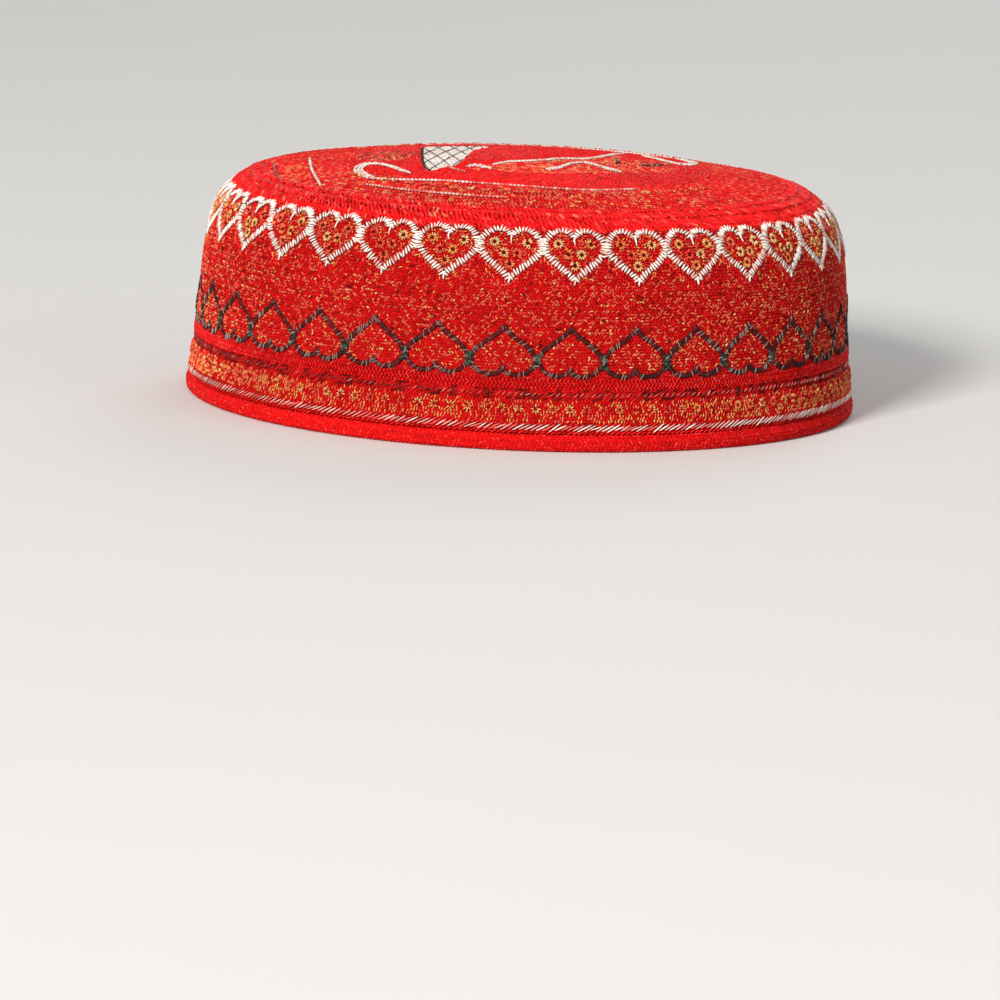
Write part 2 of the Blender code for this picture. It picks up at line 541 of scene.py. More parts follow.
SCAN_POINTS = 320
OFF_SEAM = 0.00005
SKIN_STEP = 0.00025
SKIN_BLUR = 3


def node_rays(name):
    """Return a caster of rays at a CAD node's mesh."""
    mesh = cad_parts[name].data
    corners = [vertex.co for vertex in mesh.vertices]
    return BVHTree.FromPolygons(corners, [tuple(face.vertices) for face in mesh.polygons])


def scan(rays, starts, direction):
    """Return radius and height of each place where a ray from a start meets the node."""
    found = [rays.ray_cast(Vector(start), Vector(direction))[0] for start in starts]
    return [(math.hypot(point.x, point.y), point.z) for point in found if point]


def outer_line():
    """Return radius and height along the cap's outer line, from the band's foot up."""
    heights = np.linspace(FOOT + OFF_SEAM, BAND_TOP - OFF_SEAM, SCAN_POINTS)
    radii = np.linspace(CROWN_EDGE - OFF_SEAM, 0.0, SCAN_POINTS)
    band = scan(node_rays("side_band"), [(1.0, OFF_SEAM, h) for h in heights], (-1, 0, 0))
    crown = scan(node_rays("crown_top"), [(r, OFF_SEAM, 1.0) for r in radii], (0, 0, -1))
    return even_line(np.array(band + crown), SKIN_STEP, SKIN_BLUR)


def even_line(line, step, blur):
    """Return a line of points at even distances, smoothed over a few neighbours."""
    travel = np.concatenate(([0.0], np.cumsum(np.hypot(*np.diff(line, axis=0).T))))
    count = max(2, round(travel[-1] / step) + 1)
    even = np.linspace(0.0, travel[-1], count)
    points = np.stack([np.interp(even, travel, axis) for axis in line.T], -1)
    if blur:
        weights = np.exp(-0.5 * (np.arange(-3 * blur, 3 * blur + 1) / blur) ** 2)
        weights /= weights.sum()
        wide = np.pad(points, ((3 * blur, 3 * blur), (0, 0)), "reflect", reflect_type="odd")
        points = np.stack([np.convolve(axis, weights, "valid") for axis in wide.T], -1)
    return points


class Skin:
    """The cap's outer surface. A place on it has a turn, round from the front, and a
    run, along the outer line from the band's foot to the crown's middle."""

    def __init__(self, line):
        self.radius, self.height = line.T
        self.radius = np.maximum(self.radius, 0.0)
        self.run = np.concatenate(([0.0], np.cumsum(np.hypot(*np.diff(line, axis=0).T))))
        self.slope = np.gradient(self.radius, self.run)
        self.climb = np.gradient(self.height, self.run)
        self.shoulder = int(np.searchsorted(-self.radius, -WELT_RADIUS))

    def radius_at(self, run):
        return np.interp(run, self.run, self.radius)

    def at_height(self, height):
        """Return the run of a height on the band."""
        return np.interp(height, self.height[:self.shoulder], self.run[:self.shoulder])

    def at_radius(self, radius):
        """Return the run of a radius on the crown."""
        return np.interp(radius, self.radius[:self.shoulder:-1], self.run[:self.shoulder:-1])

    def at(self, turn, run):
        """Return place and the directions around, up the line and out, at each spot."""
        radius, height = self.radius_at(run), np.interp(run, self.run, self.height)
        slope, climb = np.interp(run, self.run, self.slope), np.interp(run, self.run, self.climb)
        size = np.hypot(slope, climb)
        slope, climb = slope / size, climb / size
        zero = np.zeros_like(turn)
        away = np.stack((np.sin(turn), -np.cos(turn), zero), -1)
        around = np.stack((np.cos(turn), np.sin(turn), zero), -1)
        upright = np.array((0.0, 0.0, 1.0))
        up = slope[:, None] * away + climb[:, None] * upright
        out = climb[:, None] * away - slope[:, None] * upright
        return radius[:, None] * away + height[:, None] * upright, around, up, out


SKIN = Skin(outer_line())


def at_level(level):
    """Return the run on the band of a share of the welt's height."""
    return SKIN.at_height(np.array(level) * WELT_HEIGHT)


def hem_line():
    """Return radius and height along the hem's outer side, from low to high."""
    low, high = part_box("rim_hem")
    heights = np.linspace(low.z + OFF_SEAM, high.z - OFF_SEAM, SCAN_POINTS)
    line = scan(node_rays("rim_hem"), [(1.0, OFF_SEAM, h) for h in heights], (-1, 0, 0))
    return even_line(np.array(line), SKIN_STEP, SKIN_BLUR)


HEM = Skin(hem_line())


# Stitches

STITCH_SIDES = 3
SIZE_SPREAD = 0.12


class Stitches:
    """The stitches of one piece, gathered until they are sewn."""

    def __init__(self, seed, skin=SKIN):
        self.seed = seed
        self.skin = skin
        self.random = np.random.default_rng(seed)
        self.rows = []

    def rings(self, runs, pitch):
        """Return turn, run and row number of places in rings, evenly apart in each."""
        turns, places, numbers = [], [], []
        for number, run in enumerate(np.atleast_1d(runs)):
            count = max(3, round(TAU * float(self.skin.radius_at(run)) / pitch))
            turns.append((np.arange(count) + self.random.uniform()) * TAU / count)
            places.append(np.full(count, run))
            numbers.append(np.full(count, number))
        return np.concatenate(turns), np.concatenate(places), np.concatenate(numbers)

    def wander(self, spread, count):
        """Return random offsets of this spread."""
        return self.random.normal(0.0, spread, count)

    def tints(self, count, **shares):
        """Return tints picked at random by the share of each, a little spread."""
        weights = np.array(list(shares.values()), float)
        weights /= weights.sum()
        picked = self.random.choice([TINTS[name] for name in shares], count, p=weights)
        return np.clip(picked + self.wander(TINT_WANDER, count), 0.0, 1.0)

    def lay(self, turn, run, heading, tint, *, long, wide, thick, lift):
        """Add stitches. A heading of 0 points round the cap and a quarter turn up it."""
        rows = np.broadcast_arrays(turn, run, heading, long, wide, thick, tint, lift)
        self.rows.append(np.stack([np.ravel(row).astype(float) for row in rows]))

    def lay_rings(self, runs, pitch, heading, wander, shares, **size):
        """Add rings of like stitches, tinted by shares."""
        turn, run, _ = self.rings(runs, pitch)
        tint = self.tints(len(turn), **shares)
        if wander:
            heading = heading + self.wander(wander, len(turn))
        self.lay(turn, run, heading, tint, **size)

    def guide(self, name):
        """Return a mesh with a vertex for each stitch, and how it lies as attributes."""
        turn, run, heading, long, wide, thick, tint, lift = np.concatenate(self.rows, axis=1)
        place, around, up, out = self.skin.at(turn, run)
        along = np.cos(heading)[:, None] * around + np.sin(heading)[:, None] * up
        mesh = bpy.data.meshes.new(name)
        mesh.vertices.add(len(turn))
        mesh.vertices.foreach_set("co", (place + lift[:, None] * out).ravel())
        sizes = np.stack((thick, wide, long), -1) / 2
        for key, values in {"along": along, "out": out, "size": sizes}.items():
            kept = mesh.attributes.new(key, "FLOAT_VECTOR", "POINT")
            kept.data.foreach_set("vector", values.ravel())
        mesh.attributes.new("tint", "FLOAT", "POINT").data.foreach_set("value", tint)
        return mesh


def sew(name, stitches, thread="warm_thread", slot="band_embroidery", rings=3, lean=0.10):
    """Turn gathered stitches into a finished piece."""
    piece = grow(
        name, stitches.guide(name), "stitches", Sides=STITCH_SIDES, Rings=rings, Lean=lean,
        Spread=SIZE_SPREAD, Seed=stitches.seed, Material=finish(thread),
    )
    fasten(piece, slot)


def alternate(number, angle):
    """Return an angle for each stitch, turned the other way in every second row."""
    return np.where(number % 2 == 0, angle, -angle)


def gap_to(points, x, y):
    """Return each place's distance to the nearest of some points."""
    gap = np.full(np.shape(x), np.inf)
    for point_x, point_y in points:
        gap = np.minimum(gap, np.hypot(x - point_x, y - point_y))
    return gap


def in_loop(points, x, y):
    """Return whether each place lies inside a closed line of points."""
    inside = np.zeros(np.shape(x), bool)
    for (x0, y0), (x1, y1) in zip(points, points[1:]):
        if y0 != y1:
            crosses = (y > min(y0, y1)) & (y <= max(y0, y1))
            inside ^= crosses & (x < x0 + (y - y0) / (y1 - y0) * (x1 - x0))
    return inside


# Hearts

NEAR_TIP = 0.00015
BORDER_TOP = 0.955   # share of the welt's height that the hearts' red borders reach

# Eyelets in each white heart: metres from its middle, and share of the welt's height
EYELETS = (
    {"across": -0.00450, "level": 0.943},
    {"across": 0.00450, "level": 0.943},
    {"across": -0.00180, "level": 0.898},
    {"across": 0.00180, "level": 0.898},
    {"across": -0.0001, "level": 0.850},
)


class HeartRow:
    """A row of equal hearts round the band."""

    POINTS = 241
    COARSE = 2   # every second point is near enough for distances
    LOWEST, HIGHEST = -16, 11   # of a heart's curve, at its tip and at its lobes

    def __init__(self, count, phase, tip, top, spread):
        """Shape the hearts, each as wide as its pitch times the spread."""
        t = np.linspace(0.0, TAU, self.POINTS)
        rise = 13 * np.cos(t) - 0.75 * (5 * np.cos(2 * t) + 2 * np.cos(3 * t) + np.cos(4 * t))
        share = (rise - self.LOWEST) / (self.HIGHEST - self.LOWEST)
        run = SKIN.at_height(tip + share * (top - tip))
        turn = np.sin(t) ** 3 * spread * math.pi / count
        self.count = count
        self.phase = phase
        self.tip, self.top = tip, top
        self.outline = np.stack((turn * SKIN.radius_at(run), run), -1)

    def path(self, pitch, offset=0.0):
        """Return turn, run and heading of points along one heart, offset outwards."""
        line = even_line(self.outline, pitch, 0)[:-1]
        ahead = np.roll(line, -1, axis=0) - np.roll(line, 1, axis=0)
        heading = np.arctan2(ahead[:, 1], ahead[:, 0])
        side = heading + math.pi / 2 * (1 if self.top > self.tip else -1)
        across = line[:, 0] + offset * np.cos(side)
        run = line[:, 1] + offset * np.sin(side)
        return across / SKIN.radius_at(run), run, heading

    def everywhere(self, turn, *others):
        """Repeat the turns of one heart's stitches round the cap, with their other values."""
        phases = self.phase + np.arange(self.count) * TAU / self.count
        turns = (phases[:, None] + turn[None, :]).ravel()
        return turns, *(np.tile(other, self.count) for other in others)

    def joints(self):
        """Return the turn of each place where two hearts meet, and the run of them all."""
        turns = self.phase + (np.arange(self.count) + 0.5) * TAU / self.count
        across, run = self.outline.T
        return turns, run[np.argmax(across)]

    def folded(self, turn, run):
        """Return places measured from the nearest heart's middle, in metres."""
        pitch = TAU / self.count
        local = (turn - self.phase + pitch / 2) % pitch - pitch / 2
        return local * SKIN.radius_at(run)

    def past_tip(self, turn, run, gap):
        """Return whether the tip is the outline's nearest point to each place."""
        tip = SKIN.at_height(self.tip)
        return np.hypot(self.folded(turn, run), run - tip) < gap + NEAR_TIP

    def distance(self, turn, run):
        """Return each place's distance to the nearest outline, below zero inside."""
        across = self.folded(turn, run)
        outline = self.outline[::self.COARSE]
        gap = gap_to(outline[:-1], across, run)
        return np.where(in_loop(outline, across, run), -gap, gap)


def pale_hearts():
    pattern = bpy.context.scene.kufi_pattern
    return HeartRow(
        pattern.hearts, pattern.pale_turn, pattern.pale_tip, pattern.pale_top, spread=0.945
    )


def dark_hearts():
    pattern = bpy.context.scene.kufi_pattern
    return HeartRow(
        pattern.hearts, pattern.dark_turn, pattern.dark_tip, pattern.dark_foot, spread=0.95
    )


def eyelet_places():
    """Return turn and run of every eyelet."""
    runs = at_level([spot["level"] for spot in EYELETS])
    across = np.array([spot["across"] for spot in EYELETS])
    return pale_hearts().everywhere(across / SKIN.radius_at(runs), runs)


# Pieces


def inset(line, depth):
    """Return an outer line moved inwards by a depth, its last point kept on the axis."""
    ahead = np.gradient(line, axis=0)
    inward = np.stack((-ahead[:, 1], ahead[:, 0]), -1)
    inward /= np.linalg.norm(inward, axis=1)[:, None]
    moved = line + inward * depth
    moved[:, 0] = np.where(line[:, 0] < OFF_SEAM, 0.0, np.maximum(moved[:, 0], 0.0))
    return moved


def section(node, points):
    """Return a CAD ring's section as a closed line, seen from its middle."""
    low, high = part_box(node)
    rays = node_rays(node)
    inner = min(vertex.co.xy.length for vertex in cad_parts[node].data.vertices)
    centre = Vector(((inner + high.x) / 2, OFF_SEAM, (low.z + high.z) / 2))
    angles = np.linspace(0.0, TAU, points + 1)
    ways = [Vector((math.cos(angle), 0.0, math.sin(angle))) for angle in angles]
    found = [rays.ray_cast(centre, way)[0] for way in ways]
    return np.array([(math.hypot(point.x, point.y), point.z) for point in found])


CLOTH_STEPS = 144
CLOTH_LINE_STEP = 0.0032
BAND_WALL = 0.0030
STITCH_BED = 0.0002
HEM_POINTS = 20
WELT_POINTS = 12
HEM_ROWS = 6


def turned_cloth(name, line, inside, material, slot, node):
    """Make a piece by turning a closed outline round the cap's axis."""
    mesh = bpy.data.meshes.new(name)
    points = [(radius, 0.0, height) for radius, height in line]
    mesh.from_pydata(points, [(i, i + 1) for i in range(len(points) - 1)], [])
    mesh.attributes.new("inside", "FLOAT", "POINT").data.foreach_set("value", inside)
    piece = grow(name, mesh, "turned", Steps=CLOTH_STEPS, Material=finish(material))
    fasten(piece, slot, node)


def make_cloths():
    """Make the band's and the crown's cloth walls, under the stitches."""
    line = np.stack((SKIN.radius, SKIN.height), -1)
    band = line[(SKIN.height <= BAND_TOP) & (SKIN.radius > WELT_RADIUS)]
    crown = line[SKIN.radius <= CROWN_EDGE]
    for name, outer, material, slot, node in (
        ("band_cloth", band, "band_ground", "band_embroidery", "side_band"),
        ("crown_cloth", crown, "crown_ground", "crown_embroidery", "crown_top"),
    ):
        outer = even_line(outer, CLOTH_LINE_STEP, 0)
        bed = inset(outer, STITCH_BED)
        inner = inset(outer, BAND_WALL)[::-1]
        inside = np.concatenate((np.zeros(len(bed)), np.ones(len(inner)), [0.0]))
        line = np.concatenate((bed, inner, bed[:1]))
        turned_cloth(name, line, inside, material, slot, node)


def make_trims():
    """Make the rolled hem and the wrapped welt."""
    for name, node, points, material, slot in (
        ("hem_roll", "rim_hem", HEM_POINTS, "hem_cloth", "hem_cloth"),
        ("welt_roll", "crown_welt", WELT_POINTS, "welt_core", "welt_thread"),
    ):
        line = section(node, points)
        turned_cloth(name, line, np.zeros(len(line)), material, slot, node)

    stitches = Stitches(71, HEM)
    rows = np.linspace(HEM.run[-1] * 0.17, HEM.run[-1] * 0.90, HEM_ROWS)
    turn, run, number = stitches.rings(rows, pitch=0.00120)
    count = len(turn)
    run = run + stitches.wander(0.00012, count)
    tint = stitches.tints(count, red=0.46, deep=0.36, rose=0.18)
    heading = alternate(number, 0.6) + stitches.wander(0.22, count)
    stitches.lay(turn, run, heading, tint, long=0.0015, wide=0.00078, thick=0.0007, lift=0.00004)
    sew("hem_stitches", stitches, slot="hem_cloth")

    stitches = Stitches(72)
    seam = SKIN.at_height(BAND_TOP)
    middle = (seam + SKIN.at_radius(CROWN_EDGE)) / 2
    lay_rope(stitches, middle + 0.0002, wide=0.0040, lift=0.00038)
    lay_groove(stitches, seam)
    sew("welt_wrapping", stitches, slot="welt_thread")


# Rope rows, on the welt and inside it

ROPE_PITCH = 0.00128
ROPE_COURSES = 3
ROPE_SLANT = math.radians(-52)


def lay_rope(stitches, place, wide, lift):
    """Lay a rope row across a run: courses of short slanted stitches, side by side."""
    course = wide / ROPE_COURSES
    for i in range(ROPE_COURSES):
        off = i - (ROPE_COURSES - 1) / 2
        turn, run, _ = stitches.rings(place + off * course, ROPE_PITCH)
        count = len(turn)
        run = run + stitches.wander(0.00018, count)
        tint = stitches.tints(count, red=0.62, deep=0.14, rose=0.20, salmon=0.04)
        heading = ROPE_SLANT + stitches.wander(0.20, count)
        long = course / math.sin(-ROPE_SLANT) * stitches.random.uniform(1.55, 1.85, count)
        bulge = lift - 0.00012 * abs(off)
        bulge = bulge + stitches.random.uniform(-0.00006, 0.00006, count)
        stitches.lay(turn, run, heading, tint, long=long, wide=0.00160, thick=0.0007, lift=bulge)


def lay_groove(stitches, place):
    """Lay a line of low stitches round the cap at a run, between two rope rows."""
    # Their mostly deep red is painted shade in the groove.
    stitches.lay_rings(
        place, 0.0015, 0.1, 0.0, {"deep": 0.7, "red": 0.3},
        long=0.0019, wide=0.0012, thick=0.0006, lift=-0.00002,
    )


# The band's hearts and filling

BAR_PITCH = 0.00088
BAR_SLANT = math.radians(82)
BORDER_ROWS = 3
JOINT_STITCHES = 8
KNOT_STITCHES = 9
KNOT_PITCH = 0.00042

# The filling's foot and the levels of its shares of rich flecks, as shares of the welt's
# height, and how far it keeps from other stitches
FIELD_FOOT = 0.337
FIELD_SLANT = math.radians(40)
RICH_LEVELS = (0.55, 0.72, 0.86)
RICH_SHARES = (1.0, 0.75, 0.25)
PLAIN_STRIP = 0.0022
CLEAR_OF_DARK = 0.0007
CLEAR_OF_EYELET = 0.0015


def make_pale_hearts():
    """Sew the white hearts' outlines, their red borders and their eyelets."""
    pattern = bpy.context.scene.kufi_pattern
    hearts = pale_hearts()

    stitches = Stitches(11)
    turn, run, heading = hearts.everywhere(*hearts.path(BAR_PITCH))
    count = len(turn)
    heading = heading + (BAR_SLANT + stitches.wander(0.14, count))
    long = pattern.outline * stitches.random.uniform(0.80, 1.20, count)
    run = run + stitches.wander(0.00010, count)
    tint = stitches.tints(count, white=0.84, blush=0.16)
    stitches.lay(turn, run, heading, tint, long=long, wide=0.00082, thick=0.0007, lift=0.00045)
    # Lower, darker stitches under the bars are painted shade in the gaps between them.
    turn, run, heading = hearts.everywhere(*hearts.path(BAR_PITCH / 2))
    tint = stitches.tints(len(turn), shade=0.3, pink=0.7)
    stitches.lay(turn, run, heading + BAR_SLANT, tint,
                 long=pattern.outline * 0.8, wide=0.0005, thick=0.0004, lift=0.00010)

    # A thin stitch hangs from each notch, and level ones bind each heart to the next
    notch = hearts.outline[0, 1] - 0.0009
    turn, run = hearts.everywhere(np.zeros(1), np.full(1, notch))
    stitches.lay(turn, run, math.radians(88), TINTS["white"],
                 long=0.0028, wide=0.00046, thick=0.0006, lift=0.00040)
    joint, level = hearts.joints()
    for step in np.linspace(-0.0021, 0.0021, JOINT_STITCHES):
        run = level + step + stitches.wander(0.00008, hearts.count)
        heading = stitches.wander(0.16, hearts.count)
        tint = stitches.tints(hearts.count, white=0.85, blush=0.15)
        stitches.lay(joint, run, heading, tint,
                     long=0.0024 + 0.2 * abs(step), wide=0.00058, thick=0.0006, lift=0.00052)
    sew("white_heart_outlines", stitches, "pale_thread")

    stitches = Stitches(12)
    for row in range(BORDER_ROWS):
        offset = pattern.outline / 2 + (row + 0.3) * pattern.border / BORDER_ROWS
        turn, run, heading = hearts.path(0.0012, offset)
        lower = run < at_level(BORDER_TOP)
        turn, run, heading = hearts.everywhere(turn[lower], run[lower], heading[lower])
        slant = stitches.wander(0.1, len(turn)) + (0.45 if row % 2 else -0.45)
        tint = stitches.tints(len(turn), deep=0.20, red=0.48, rose=0.02, salmon=0.20, gold=0.10)
        stitches.lay(turn, run, heading + slant, tint,
                     long=0.0016, wide=0.00058, thick=0.0006, lift=0.0001)
    sew("white_heart_borders", stitches)

    stitches = Stitches(13)
    turn, run = eyelet_places()
    tint = stitches.tints(len(turn), salmon=0.32, gold=0.44, cream=0.24)
    lay_rosettes(stitches, turn, run, tint, pattern.eyelet, petals=11)
    sew("eyelet_rings", stitches)


def lay_rosettes(stitches, turn, run, tint, reach, petals, middle="shadow"):
    """Lay rings of short stitches, each round a dark middle, at some places."""
    count = len(turn)
    for petal in range(petals):
        angle = TAU * (petal + stitches.random.uniform(-0.12, 0.12, count)) / petals
        turns = turn + reach * np.cos(angle) / SKIN.radius_at(run)
        runs = run + reach * np.sin(angle)
        tints = np.clip(tint + stitches.wander(0.07, count), TINTS["rose"], 1.0)
        tints = np.where(stitches.random.uniform(size=count) < 0.10, TINTS["deep"], tints)
        stitches.lay(turns, runs, angle, tints,
                     long=reach * 1.1, wide=reach * 0.69, thick=0.0007, lift=0.00040)
    # The dark middle stands in for the hole in each ring: painted shade.
    dot = reach * 0.8
    stitches.lay(turn, run, 0.0, TINTS[middle], long=dot, wide=dot, thick=0.0003, lift=0.0001)


def make_dark_hearts():
    """Sew the inverted hearts' dark outlines and the knots that join them."""
    hearts = dark_hearts()
    stitches = Stitches(21)
    turn, run, heading = hearts.everywhere(*hearts.path(0.00085))
    tint = stitches.tints(len(turn), maroon=0.86, inky=0.14)
    stitches.lay(turn, run, heading + 0.35, tint,
                 long=0.0014, wide=0.0016, thick=0.0005, lift=0.00010)
    turn, run, heading = hearts.everywhere(*hearts.path(0.00066))
    count = len(turn)
    run = run + stitches.wander(0.00012, count)
    heading = heading + (math.radians(68) + stitches.wander(0.14, count))
    long = stitches.random.uniform(0.0016, 0.0025, count)
    tint = stitches.tints(count, inky=0.26, maroon=0.42, grey=0.32)
    stitches.lay(turn, run, heading, tint, long=long, wide=0.00034, thick=0.0005, lift=0.00036)

    joint, level = hearts.joints()
    count = hearts.count
    for i in range(KNOT_STITCHES):
        turn = joint + stitches.wander(0.0003, count) / RIM_RADIUS
        step = (i - KNOT_STITCHES / 2 + 0.5) * KNOT_PITCH
        run = level + step + stitches.wander(0.0001, count)
        heading = stitches.random.normal(0.4, 0.35, count)
        tint = stitches.tints(count, teal=0.46, inky=0.38, grey=0.16)
        stitches.lay(turn, run, heading, tint,
                     long=0.0022, wide=0.00060, thick=0.0007, lift=0.00050)
    sew("dark_heart_outlines", stitches, "dark_thread")


def make_field():
    """Sew the band's filling, round and inside the hearts, in rows of slanted stitches."""
    pattern = bpy.context.scene.kufi_pattern
    pale, dark = pale_hearts(), dark_hearts()
    low, high = at_level(FIELD_FOOT), SKIN.at_height(BAND_TOP) + 0.0002
    stitches = Stitches(31)
    turn, run, number = stitches.rings(np.arange(low, high, pattern.row), pattern.pitch)
    turn = turn + stitches.wander(0.00012, len(turn)) / RIM_RADIUS
    run = run + stitches.wander(0.00010, len(turn))

    from_pale, from_dark = pale.distance(turn, run), dark.distance(turn, run)
    spot_turn, spot_run = (axis[:len(EYELETS)] for axis in eyelet_places())
    spots = zip(pale.folded(spot_turn, spot_run), spot_run)
    from_eyelet = gap_to(spots, pale.folded(turn, run), run)
    edge = pattern.outline / 2
    border_top = at_level(BORDER_TOP)
    by_border = (from_pale > 0) & (from_pale < edge + pattern.border) & (run < border_top)
    bordered = by_border & ~pale.past_tip(turn, run, from_pale)
    keep = (np.abs(from_pale) > edge * 0.8) & ~bordered
    keep &= (np.abs(from_dark) > CLEAR_OF_DARK) & (from_eyelet > CLEAR_OF_EYELET)
    turn, run, number, from_pale, from_dark, by_border = (
        axis[keep] for axis in (turn, run, number, from_pale, from_dark, by_border)
    )

    in_pale, in_dark = from_pale < 0, from_dark < 0
    plain = by_border | (run > border_top) & ~in_pale
    plain |= (run < SKIN.at_height(pattern.dark_foot) + PLAIN_STRIP) & ~in_dark
    count = len(turn)
    rich = np.interp(run, at_level(RICH_LEVELS), RICH_SHARES)
    flecked = stitches.tints(
        count, shadow=0.03, deep=0.26, red=0.39, salmon=0.27, gold=0.04, cream=0.01
    )
    sparse = stitches.tints(count, shadow=0.03, deep=0.27, red=0.48, salmon=0.20, gold=0.02)
    tint = np.where(stitches.random.uniform(size=count) < rich, flecked, sparse)
    for part, shares in (
        (in_dark, {"deep": 0.12, "red": 0.54, "salmon": 0.22, "gold": 0.10, "cream": 0.02}),
        (in_pale, {"deep": 0.02, "red": 0.45, "rose": 0.08, "salmon": 0.30, "gold": 0.15}),
        (plain, {"deep": 0.14, "red": 0.66, "rose": 0.12, "salmon": 0.08}),
    ):
        tint = np.where(part, stitches.tints(count, **shares), tint)
    heading = alternate(number, FIELD_SLANT) + stitches.wander(0.24, count)
    fleck = tint > TINTS["salmon"] + 0.1
    long = pattern.stitch * stitches.random.uniform(0.80, 1.20, count)
    long = long * np.where(fleck, 0.70, 1.0)
    wide = pattern.thread * np.where(fleck, 1.30, 1.0)
    lift = np.where(fleck, 0.00014, 0.00006) + np.where(in_pale, 0.00008, 0.0)
    dark_tip, pale_tip = SKIN.at_height(pattern.dark_tip), SKIN.at_height(pattern.pale_tip)
    for name, part in (
        ("field_lower", run < dark_tip),
        ("field_middle", (run >= dark_tip) & (run < pale_tip)),
        ("field_upper", run >= pale_tip),
    ):
        share = Stitches(32)
        share.lay(turn[part], run[part], heading[part], tint[part],
                  long=long[part], wide=wide[part], thick=0.00042, lift=lift[part])
        sew(name, share)


# Rows under the dark hearts: levels are shares of the welt's height

BRAID_LEVELS = (0.298, 0.321)
BRAID_HALF = 0.00036
DASH_GROUND_LEVELS = (0.242, 0.255, 0.268, 0.281)
DASH_LEVEL = 0.262
GOLD_LEVELS = (0.143, 0.230)
GOLD_ROWS = 7
ROSETTE_LEVEL = 0.196
ROSETTES = 128
PALE_ROW_LEVEL = 0.114
PALE_PITCH = 0.00165
FILLING_LEVELS = (0.090, 0.104, 0.118, 0.131)


def sided_tints(stitches, turn, left, right):
    """Return tints by one side's shares and by the other's, mixed where the two meet."""
    count = len(turn)
    left = stitches.tints(count, **left)
    right = stitches.tints(count, **right)
    return np.where(np.sin(turn) < stitches.random.uniform(-0.6, 0.2, count), left, right)


def make_foot_rows():
    """Sew the rows under the dark hearts: braid, dashes, gold band and pale stitches."""
    stitches = Stitches(41)
    for run in at_level(BRAID_LEVELS):
        for way in (-1, 1):
            stitches.lay_rings(
                run + way * BRAID_HALF, 0.00112, way * 0.75, 0.10,
                {"red": 0.68, "deep": 0.06, "rose": 0.26},
                long=0.0014, wide=0.00066, thick=0.0008, lift=0.00028,
            )
    sew("chain_braid", stitches)

    stitches = Stitches(42)
    turn, run, _ = stitches.rings(at_level(DASH_GROUND_LEVELS), pitch=0.00125)
    count = len(turn)
    # Dark blobs come at uneven distances
    around = turn * RIM_RADIUS
    blob = np.sin(around / 0.0008) + np.sin(around / 0.00129) > 1.0
    dark = stitches.tints(count, shadow=0.8, deep=0.2)
    light = stitches.tints(count, shadow=0.18, deep=0.58, red=0.24)
    heading = 0.45 + stitches.wander(0.12, count)
    stitches.lay(turn, run, heading, np.where(blob, dark, light),
                 long=0.0019, wide=0.00070, thick=0.0005, lift=0.0)
    sew("dash_row_ground", stitches)

    stitches = Stitches(43)
    turn, run, number = stitches.rings(np.linspace(*at_level(GOLD_LEVELS), GOLD_ROWS), 0.00088)
    count = len(turn)
    turn = turn + stitches.wander(0.001, count)
    run = run + stitches.wander(0.00014, count)
    # Warm blotches lie between the rosettes, in the lowest rows
    blotch = (number < 3) & (np.cos(turn * ROSETTES) < -0.1)
    warm = stitches.tints(count, red=0.20, salmon=0.34, gold=0.46)
    plain = stitches.tints(count, deep=0.12, red=0.46, salmon=0.22, gold=0.20)
    heading = math.radians(80) + stitches.wander(0.3, count)
    stitches.lay(turn, run, heading, np.where(blotch, warm, plain),
                 long=0.00112, wide=0.00060, thick=0.0005, lift=0.00006)
    turn = np.arange(ROSETTES) * TAU / ROSETTES
    run = np.full(ROSETTES, at_level(ROSETTE_LEVEL))
    tint = stitches.tints(ROSETTES, salmon=0.50, gold=0.44, cream=0.06)
    lay_rosettes(stitches, turn, run, tint, 0.00092, petals=8, middle="deep")
    sew("gold_band", stitches)

    stitches = Stitches(44)
    turn, run, _ = stitches.rings(at_level(PALE_ROW_LEVEL), PALE_PITCH)
    tint = sided_tints(stitches, turn, {"white": 0.10, "blush": 0.52, "pink": 0.38},
                       {"white": 0.36, "blush": 0.46, "pink": 0.18})
    long = stitches.random.uniform(0.0036, 0.0046, len(turn))
    heading = math.radians(29) + stitches.wander(0.07, len(turn))
    stitches.lay(turn, run, heading, tint, long=long, wide=0.00052, thick=0.0006, lift=0.00032)
    turn, run, _ = stitches.rings(at_level(DASH_LEVEL), PALE_PITCH)
    tint = sided_tints(stitches, turn, {"shade": 0.85, "pink": 0.15},
                       {"pink": 0.65, "blush": 0.15, "shade": 0.20})
    heading = math.radians(40) + stitches.wander(0.12, len(turn))
    stitches.lay(turn, run, heading, tint, long=0.0018, wide=0.00036, thick=0.0004, lift=0.00026)
    sew("pale_slanted_rows", stitches, "pale_thread", rings=4, lean=0.03)

    stitches = Stitches(45)
    stitches.lay_rings(
        at_level(FILLING_LEVELS), 0.0015, 0.5, 0.1, {"red": 0.72, "deep": 0.20, "rose": 0.08},
        long=0.0021, wide=0.00070, thick=0.0005, lift=0.0,
    )
    sew("foot_filling", stitches)


# The crown's ornament, in millimetres from the crown's middle, X first. A line has a
# twin, half a turn round, unless it is single. The leaf and the patches have none.

